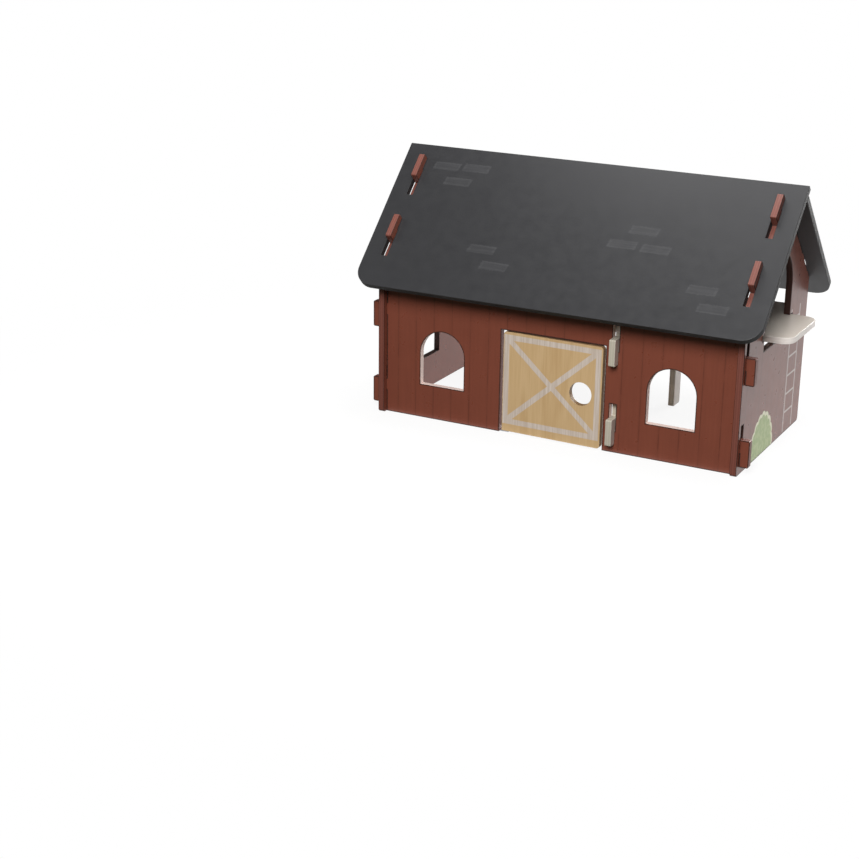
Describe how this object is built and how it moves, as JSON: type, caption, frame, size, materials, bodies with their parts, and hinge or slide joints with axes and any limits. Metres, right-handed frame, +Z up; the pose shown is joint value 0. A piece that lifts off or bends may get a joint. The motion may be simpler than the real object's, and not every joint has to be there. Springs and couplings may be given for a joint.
{
  "type": "toy barn",
  "caption": "Slotted-board toy barn with a pitched two-panel roof on hooks, a pivoted door with a finger hole, arched windows and a loft floor that ends in a balcony.",
  "frame": {"origin": "middle of the whole toy's box at the floor it stands on", "axes": "+X along the ridge towards the balcony, +Y from the front wall to the open back, +Z up"},
  "size_m": [0.4028, 0.2238, 0.2439],
  "materials": {
    "red_paint": "satin barn red paint with printed planks, dark laser-cut edges",
    "pale_paint": "satin pale grey paint",
    "charcoal_paint": "matt charcoal paint with a few printed shingles",
    "birch": "bare sealed birch with a printed frame and cross brace",
    "steel": "zinc plated"
  },
  "bodies": {
    "house": {"front_wall": "red_paint", "left_gable": "red_paint", "right_gable": "red_paint", "partition": "pale_paint", "loft_floor": "pale_paint", "back_roof": "charcoal_paint", "lower_pivot_pin": "steel", "lower_pivot_bracket": "steel", "bracket_screws": "steel"},
    "door_leaf": {"door": "birch", "upper_pivot_pin": "steel"},
    "front_roof_panel": {"front_roof": "charcoal_paint"}
  },
  "joints": [
    {"name": "door_swing", "type": "hinge", "parent": "house", "child": "door_leaf", "pos_m": [-0.0517, -0.08337, 0.05], "axis": [0, 0, -1], "range_deg": [-111.4, 108.6]},
    {"name": "roof_unhook", "type": "slide", "parent": "house", "child": "front_roof_panel", "axis": [0, 0.7071, 0.7071], "range_m": [0, 0.0173]}
  ]
}
